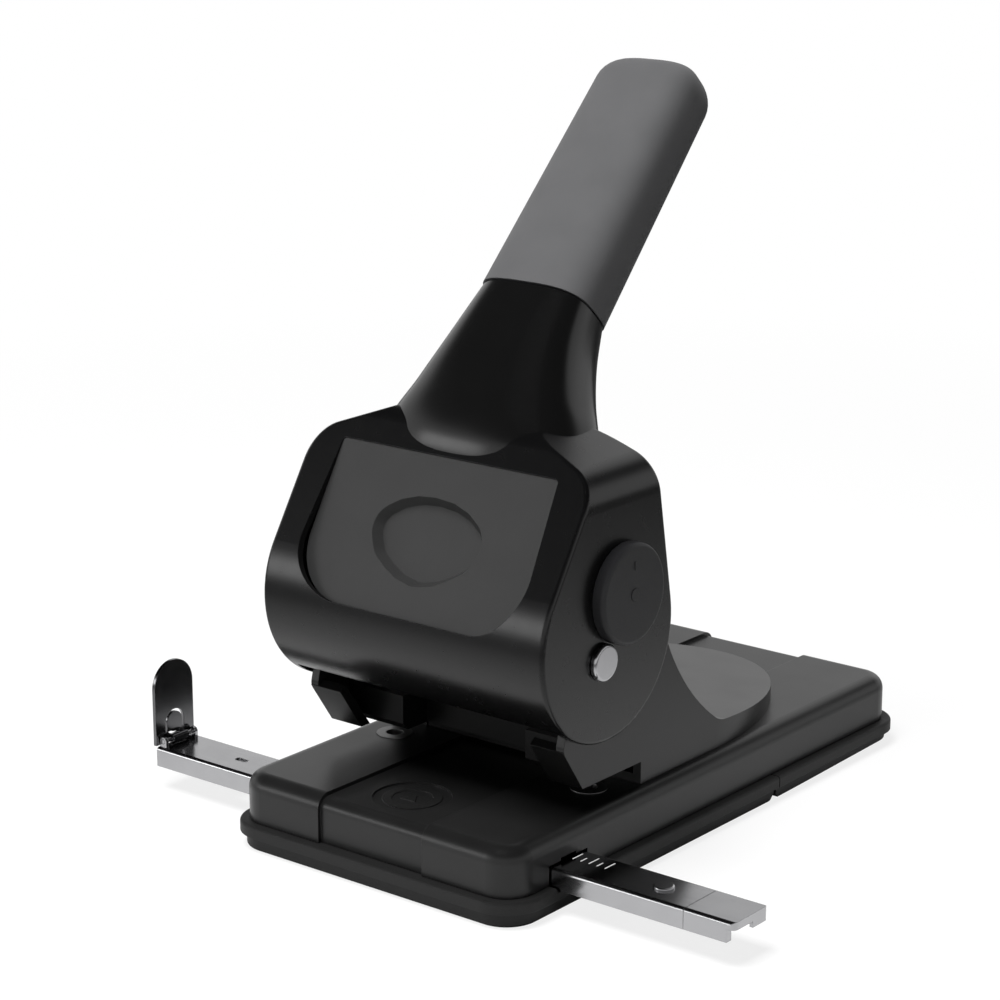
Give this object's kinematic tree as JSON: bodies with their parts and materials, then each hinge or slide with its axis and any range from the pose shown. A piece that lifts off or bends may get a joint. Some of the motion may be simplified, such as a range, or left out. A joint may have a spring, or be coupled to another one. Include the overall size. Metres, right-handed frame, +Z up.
{
  "type": "heavy duty hole punch",
  "caption": "Heavy duty paper hole punch with a long angled lever, a rounded casing over a cam drive, a flat base with a chip tray and a sliding guide bar with a fold-down stop.",
  "frame": {"origin": "middle of the underside of the base, on the surface that the punch stands on", "axes": "+X along the guide bar towards its free end, +Y from the paper side to the back, +Z up"},
  "size_m": [0.2344, 0.2218, 0.2435],
  "materials": {
    "cover_black": "satin black paint",
    "tray_plastic": "fine textured dark plastic",
    "pad_rubber": "matt",
    "plate_steel": "plain zinc plated",
    "hard_steel": "ground and hardened",
    "frame_black": "gloss black paint over a casting",
    "guide_black": "satin black",
    "casing_black": "satin gloss moulding",
    "neck_black": "gloss",
    "sleeve_grey": "soft matt",
    "cap_grey": "matt",
    "chrome": "bright nickel",
    "spring_steel": "drawn wire"
  },
  "bodies": {
    "base": {"base_cover": "cover_black", "cover_posts": "plate_steel", "chip_tray": "tray_plastic", "flap_hinge_pins": "plate_steel", "base_pads": "pad_rubber", "tray_screws": "plate_steel", "stiffener_plate": "plate_steel", "die_left": "hard_steel", "die_right": "hard_steel", "frame_bracket": "frame_black", "frame_screws": "plate_steel", "guide_block": "guide_black", "guide_screws": "plate_steel", "pivot_pin": "chrome", "pivot_retainer": "chrome", "pivot_washers": "plate_steel", "bar_guides": "tray_plastic", "punch_spring_left": "spring_steel", "punch_spring_right": "spring_steel"},
    "lever": {"lever_casing": "casing_black", "neck_shroud": "neck_black", "lever_core": "plate_steel", "grip_sleeve": "sleeve_grey", "cam_left": "hard_steel", "cam_right": "hard_steel", "cam_shaft": "hard_steel", "shaft_tubes": "plate_steel", "pivot_tubes": "plate_steel", "cap_left": "cap_grey", "cap_right": "cap_grey"},
    "punch_left": {"punch_left": "hard_steel"},
    "punch_right": {"punch_right": "hard_steel"},
    "bar": {"guide_bar": "chrome", "bar_end_piece": "chrome", "bar_rivet": "chrome", "flag_hinge_pin": "chrome"},
    "flag": {"stop_flag": "chrome"},
    "flap": {"chip_flap": "tray_plastic"}
  },
  "joints": [
    {"name": "lever_swing", "type": "hinge", "parent": "base", "child": "lever", "pos_m": [0, -0.0643, 0.0731], "axis": [-1, 0, 0], "range_deg": [0, 44], "stiffness_Nm_per_rad": 4, "springref_deg": -17.19},
    {"name": "punch_left_slide", "type": "slide", "parent": "base", "child": "punch_left", "axis": [0, 0, -1], "range_m": [0, 0.0119], "deforming": ["punch_spring_left"]},
    {"name": "punch_right_slide", "type": "slide", "parent": "base", "child": "punch_right", "axis": [0, 0, -1], "range_m": [0, 0.0119], "deforming": ["punch_spring_right"]},
    {"name": "bar_slide", "type": "slide", "parent": "base", "child": "bar", "axis": [1, 0, 0], "range_m": [-0.06, 0.024]},
    {"name": "flag_fold", "type": "hinge", "parent": "bar", "child": "flag", "pos_m": [-0.109, -0.0802, 0.01655], "axis": [0, 1, 0], "range_deg": [0, 90]},
    {"name": "flap_open", "type": "hinge", "parent": "base", "child": "flap", "pos_m": [0, 0.031, 0.0026], "axis": [-1, 0, 0], "range_deg": [0, 70]}
  ],
  "couplings": [
    {"joint": "punch_left_slide", "follows": "lever_swing", "m_per_rad": 0.0154},
    {"joint": "punch_right_slide", "follows": "lever_swing", "m_per_rad": 0.0154}
  ]
}
